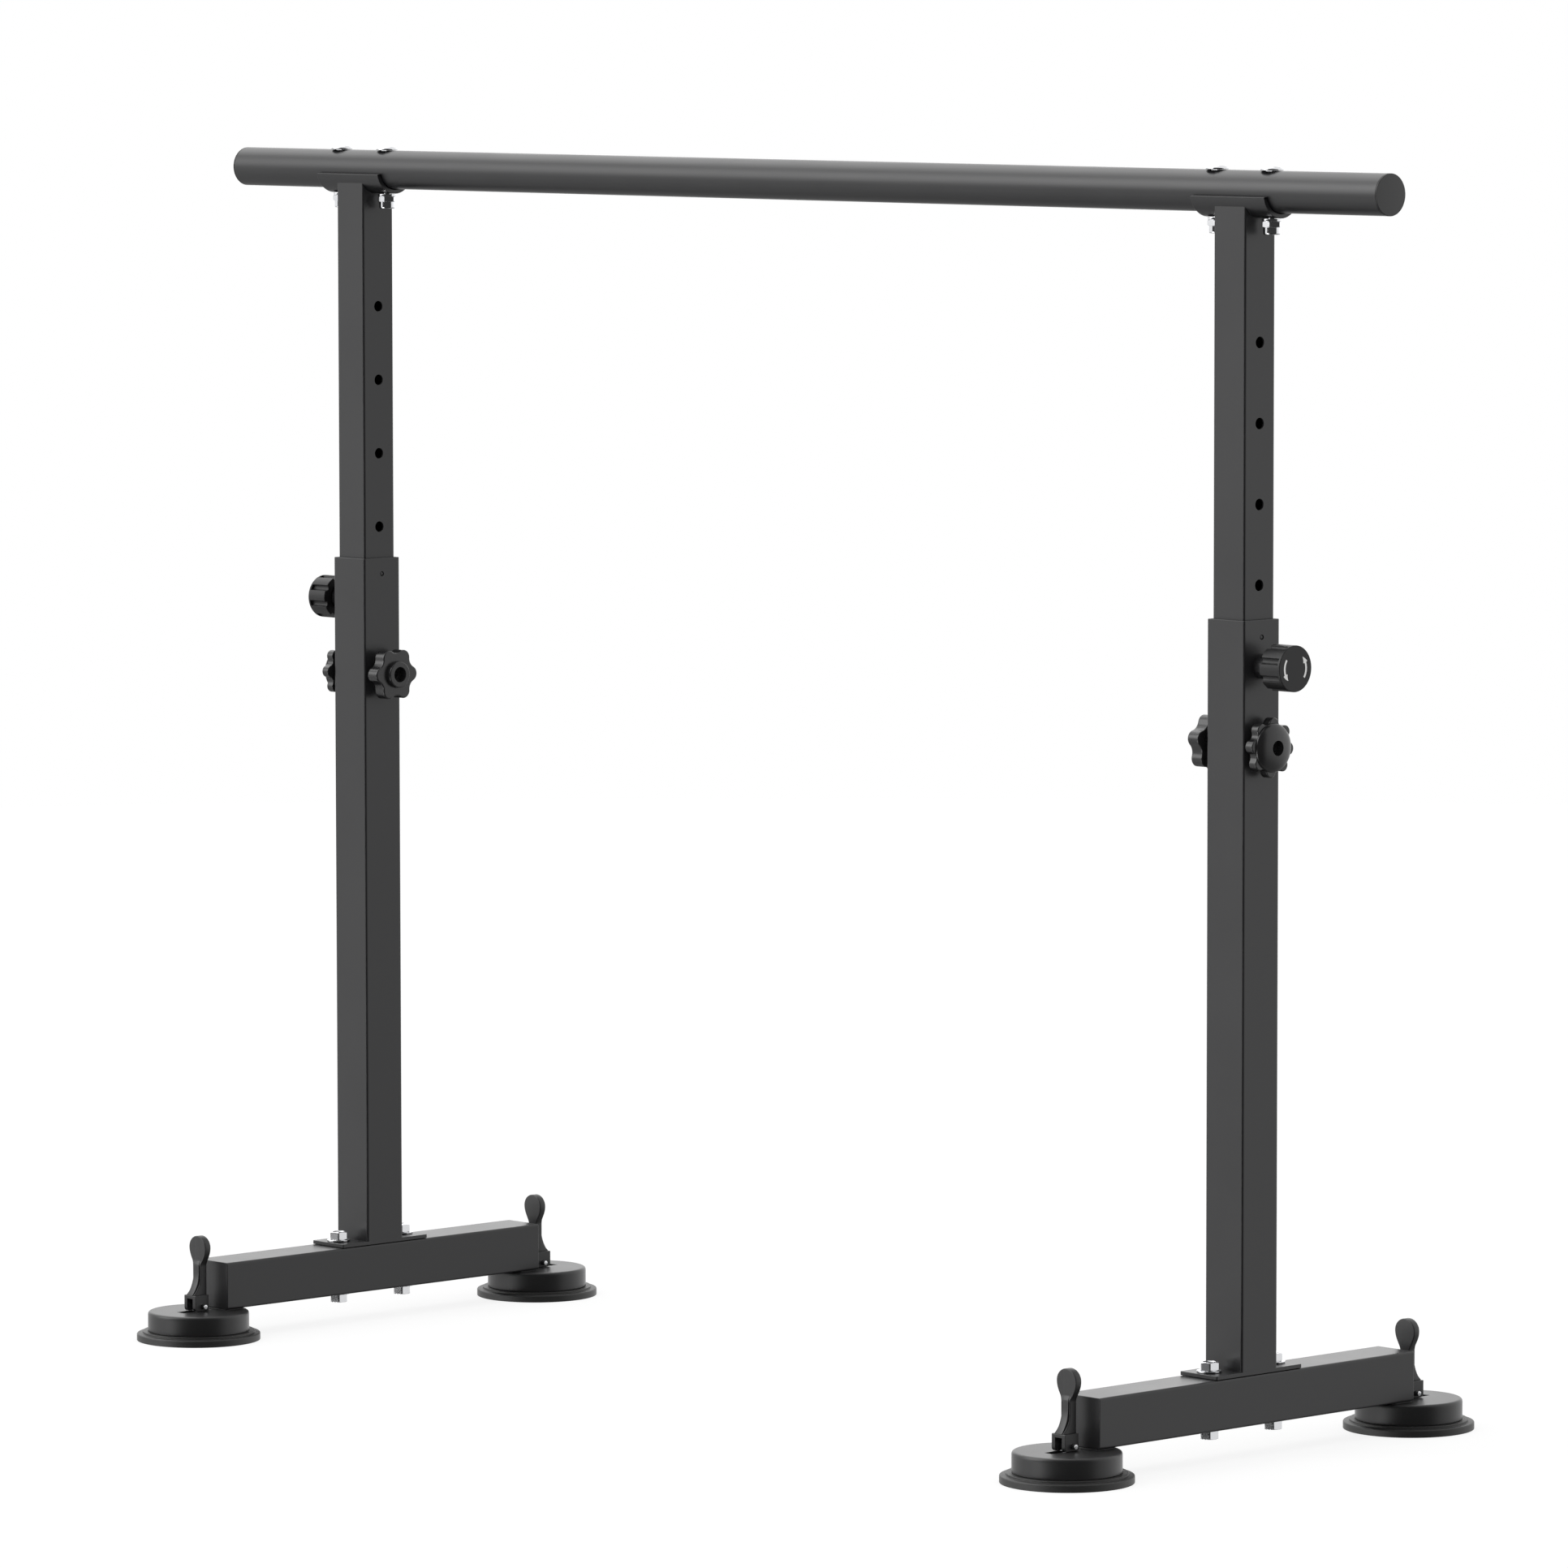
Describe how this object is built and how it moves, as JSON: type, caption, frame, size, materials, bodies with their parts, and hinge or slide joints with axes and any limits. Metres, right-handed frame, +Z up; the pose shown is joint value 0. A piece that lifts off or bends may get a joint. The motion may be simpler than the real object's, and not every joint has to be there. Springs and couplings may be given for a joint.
{
  "type": "ballet barre",
  "caption": "Free-standing ballet barre: a round handrail on telescopic square posts with pull pins, clamp knobs and base tubes on suction feet locked by cam levers.",
  "frame": {"origin": "on the floor, midway between the posts and midway between the front and rear feet", "axes": "+X along the handrail from the left stand to the right one, +Y along the base tubes from the front feet to the rear ones, +Z up"},
  "size_m": [1.5206, 0.553, 1.1373],
  "materials": {
    "painted_steel": "black powder coat, satin",
    "moulded_plastic": "black moulded plastic, fine grain",
    "knob_plastic": "black moulded plastic, semi-gloss",
    "cup_rubber": "black rubber, matt",
    "bright_zinc": "bright zinc plating"
  },
  "bodies": {
    "left_stand": {"left_outer_post": "painted_steel", "left_base_tube": "painted_steel", "left_guide_sleeve": "moulded_plastic", "left_front_base_bolt": "bright_zinc", "left_front_base_nut": "bright_zinc", "left_rear_base_bolt": "bright_zinc", "left_rear_base_nut": "bright_zinc", "left_front_suction_cup": "cup_rubber", "left_front_cup_cover": "moulded_plastic", "left_rear_suction_cup": "cup_rubber", "left_rear_cup_cover": "moulded_plastic"},
    "bar": {"handrail": "painted_steel", "left_rail_cap": "moulded_plastic", "right_rail_cap": "moulded_plastic", "left_inner_post": "painted_steel", "right_inner_post": "painted_steel", "left_inboard_carriage_bolt": "bright_zinc", "left_outboard_carriage_bolt": "bright_zinc", "right_inboard_carriage_bolt": "bright_zinc", "right_outboard_carriage_bolt": "bright_zinc", "left_inboard_lock_nut": "bright_zinc", "left_outboard_lock_nut": "bright_zinc", "right_inboard_lock_nut": "bright_zinc", "right_outboard_lock_nut": "bright_zinc"},
    "right_stand": {"right_outer_post": "painted_steel", "right_base_tube": "painted_steel", "right_guide_sleeve": "moulded_plastic", "right_front_base_bolt": "bright_zinc", "right_front_base_nut": "bright_zinc", "right_rear_base_bolt": "bright_zinc", "right_rear_base_nut": "bright_zinc", "right_front_suction_cup": "cup_rubber", "right_front_cup_cover": "moulded_plastic", "right_rear_suction_cup": "cup_rubber", "right_rear_cup_cover": "moulded_plastic"},
    "left_pin": {"left_pull_pin": "bright_zinc"},
    "left_pin_knob": {"left_pull_knob": "knob_plastic"},
    "right_pin": {"right_pull_pin": "bright_zinc"},
    "right_pin_knob": {"right_pull_knob": "knob_plastic"},
    "left_outboard_screw": {"left_outboard_clamp_stud": "bright_zinc"},
    "left_outboard_knob": {"left_outboard_clamp_knob": "knob_plastic"},
    "left_inboard_screw": {"left_inboard_clamp_stud": "bright_zinc"},
    "left_inboard_knob": {"left_inboard_clamp_knob": "knob_plastic"},
    "right_outboard_screw": {"right_outboard_clamp_stud": "bright_zinc"},
    "right_outboard_knob": {"right_outboard_clamp_knob": "knob_plastic"},
    "right_inboard_screw": {"right_inboard_clamp_stud": "bright_zinc"},
    "right_inboard_knob": {"right_inboard_clamp_knob": "knob_plastic"},
    "left_front_stem": {"left_front_cup_stem": "bright_zinc"},
    "left_front_handle": {"left_front_lever": "moulded_plastic", "left_front_lever_pin": "bright_zinc"},
    "left_rear_stem": {"left_rear_cup_stem": "bright_zinc"},
    "left_rear_handle": {"left_rear_lever": "moulded_plastic", "left_rear_lever_pin": "bright_zinc"},
    "right_front_stem": {"right_front_cup_stem": "bright_zinc"},
    "right_front_handle": {"right_front_lever": "moulded_plastic", "right_front_lever_pin": "bright_zinc"},
    "right_rear_stem": {"right_rear_cup_stem": "bright_zinc"},
    "right_rear_handle": {"right_rear_lever": "moulded_plastic", "right_rear_lever_pin": "bright_zinc"}
  },
  "joints": [
    {"name": "height", "type": "slide", "parent": "left_stand", "child": "bar", "axis": [0, 0, 1], "range_m": [-0.2832, 0.0708]},
    {"name": "right_height", "type": "slide", "parent": "bar", "child": "right_stand", "axis": [0, 0, 1], "range_m": [-0.0708, 0.2832]},
    {"name": "left_pin_slide", "type": "slide", "parent": "left_stand", "child": "left_pin", "axis": [-1, 0, 0], "range_m": [-0.01, 0]},
    {"name": "left_pin_turn", "type": "hinge", "parent": "left_pin", "child": "left_pin_knob", "pos_m": [-0.586, 0, 0.6993], "axis": [-1, 0, 0], "continuous": true},
    {"name": "right_pin_slide", "type": "slide", "parent": "right_stand", "child": "right_pin", "axis": [1, 0, 0], "range_m": [-0.01, 0]},
    {"name": "right_pin_turn", "type": "hinge", "parent": "right_pin", "child": "right_pin_knob", "pos_m": [0.586, 0, 0.6993], "axis": [1, 0, 0], "continuous": true},
    {"name": "left_outboard_screw_slide", "type": "slide", "parent": "left_stand", "child": "left_outboard_screw", "axis": [-1, 0, 0], "range_m": [0, 0.0026]},
    {"name": "left_outboard_knob_turn", "type": "hinge", "parent": "left_outboard_screw", "child": "left_outboard_knob", "pos_m": [-0.586, 0, 0.6285], "axis": [-1, 0, 0], "range_deg": [0, 720]},
    {"name": "left_inboard_screw_slide", "type": "slide", "parent": "left_stand", "child": "left_inboard_screw", "axis": [1, 0, 0], "range_m": [0, 0.0026]},
    {"name": "left_inboard_knob_turn", "type": "hinge", "parent": "left_inboard_screw", "child": "left_inboard_knob", "pos_m": [-0.586, 0, 0.6285], "axis": [1, 0, 0], "range_deg": [0, 720]},
    {"name": "right_outboard_screw_slide", "type": "slide", "parent": "right_stand", "child": "right_outboard_screw", "axis": [1, 0, 0], "range_m": [0, 0.0026]},
    {"name": "right_outboard_knob_turn", "type": "hinge", "parent": "right_outboard_screw", "child": "right_outboard_knob", "pos_m": [0.586, 0, 0.6285], "axis": [1, 0, 0], "range_deg": [0, 720]},
    {"name": "right_inboard_screw_slide", "type": "slide", "parent": "right_stand", "child": "right_inboard_screw", "axis": [-1, 0, 0], "range_m": [0, 0.0026]},
    {"name": "right_inboard_knob_turn", "type": "hinge", "parent": "right_inboard_screw", "child": "right_inboard_knob", "pos_m": [0.586, 0, 0.6285], "axis": [-1, 0, 0], "range_deg": [0, 720]},
    {"name": "left_front_stem_lift", "type": "slide", "parent": "left_stand", "child": "left_front_stem", "axis": [0, 0, 1], "range_m": [0, 0.0096]},
    {"name": "left_front_lever_turn", "type": "hinge", "parent": "left_front_stem", "child": "left_front_handle", "pos_m": [-0.586, -0.2185, 0.0321], "axis": [1, 0, 0], "range_deg": [0, 90]},
    {"name": "left_rear_stem_lift", "type": "slide", "parent": "left_stand", "child": "left_rear_stem", "axis": [0, 0, 1], "range_m": [0, 0.0096]},
    {"name": "left_rear_lever_turn", "type": "hinge", "parent": "left_rear_stem", "child": "left_rear_handle", "pos_m": [-0.586, 0.2185, 0.0321], "axis": [-1, 0, 0], "range_deg": [0, 90]},
    {"name": "right_front_stem_lift", "type": "slide", "parent": "right_stand", "child": "right_front_stem", "axis": [0, 0, 1], "range_m": [0, 0.0096]},
    {"name": "right_front_lever_turn", "type": "hinge", "parent": "right_front_stem", "child": "right_front_handle", "pos_m": [0.586, -0.2185, 0.0321], "axis": [1, 0, 0], "range_deg": [0, 90]},
    {"name": "right_rear_stem_lift", "type": "slide", "parent": "right_stand", "child": "right_rear_stem", "axis": [0, 0, 1], "range_m": [0, 0.0096]},
    {"name": "right_rear_lever_turn", "type": "hinge", "parent": "right_rear_stem", "child": "right_rear_handle", "pos_m": [0.586, 0.2185, 0.0321], "axis": [-1, 0, 0], "range_deg": [0, 90]}
  ],
  "couplings": [
    {"joint": "right_height", "follows": "height", "ratio": -1},
    {"joint": "left_outboard_screw_slide", "follows": "left_outboard_knob_turn", "m_per_rad": 0.00019894},
    {"joint": "left_inboard_screw_slide", "follows": "left_inboard_knob_turn", "m_per_rad": 0.00019894},
    {"joint": "right_outboard_screw_slide", "follows": "right_outboard_knob_turn", "m_per_rad": 0.00019894},
    {"joint": "right_inboard_screw_slide", "follows": "right_inboard_knob_turn", "m_per_rad": 0.00019894},
    {"joint": "left_front_stem_lift", "follows": "left_front_lever_turn", "m_per_rad": 0.0059842},
    {"joint": "left_rear_stem_lift", "follows": "left_rear_lever_turn", "m_per_rad": 0.0059842},
    {"joint": "right_front_stem_lift", "follows": "right_front_lever_turn", "m_per_rad": 0.0059842},
    {"joint": "right_rear_stem_lift", "follows": "right_rear_lever_turn", "m_per_rad": 0.0059842}
  ]
}
